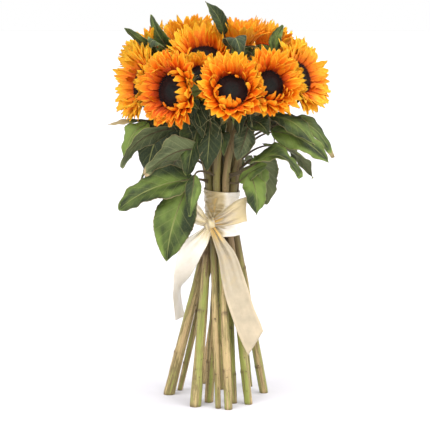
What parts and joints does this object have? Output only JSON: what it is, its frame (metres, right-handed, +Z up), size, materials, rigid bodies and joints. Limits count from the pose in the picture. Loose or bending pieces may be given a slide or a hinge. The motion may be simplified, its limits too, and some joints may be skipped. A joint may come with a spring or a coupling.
{
  "type": "bunch of sunflowers",
  "caption": "Hand-tied bunch of sunflowers with leaves, standing on its splayed cut stems, tied with a wide satin ribbon and bow.",
  "frame": {"origin": "middle of the footprint of the whole bunch, on the surface that the cut ends stand on", "axes": "+Z up along the stems, -Y towards the viewer of the bow, +X to that viewer's right"},
  "size_m": [0.36, 0.3214, 0.6332],
  "materials": {
    "leaf_green": "matte leaf and stem green",
    "ray_gold": "soft golden petal",
    "seed_brown": "matte dark brown florets",
    "cream_satin": "satin"
  },
  "bodies": {
    "root": {"stem_01": "leaf_green", "stem_02": "leaf_green", "stem_03": "leaf_green", "stem_04": "leaf_green", "stem_05": "leaf_green", "stem_06": "leaf_green", "stem_07": "leaf_green", "stem_08": "leaf_green", "stem_09": "leaf_green", "stem_10": "leaf_green", "stem_11": "leaf_green", "stem_12": "leaf_green", "bloom_01_rays": "ray_gold", "bloom_01_disc": "seed_brown", "bloom_02_rays": "ray_gold", "bloom_02_disc": "seed_brown", "bloom_03_rays": "ray_gold", "bloom_03_disc": "seed_brown", "bloom_04_rays": "ray_gold", "bloom_04_disc": "seed_brown", "bloom_05_rays": "ray_gold", "bloom_05_disc": "seed_brown", "bloom_06_rays": "ray_gold", "bloom_06_disc": "seed_brown", "bloom_07_rays": "ray_gold", "bloom_07_disc": "seed_brown", "bloom_08_rays": "ray_gold", "bloom_08_disc": "seed_brown", "bloom_09_rays": "ray_gold", "bloom_09_disc": "seed_brown", "bloom_10_rays": "ray_gold", "bloom_10_disc": "seed_brown", "bloom_11_rays": "ray_gold", "bloom_11_disc": "seed_brown", "bloom_12_rays": "ray_gold", "bloom_12_disc": "seed_brown", "ribbon_band": "cream_satin", "ribbon_bow": "cream_satin"}
  },
  "joints": []
}
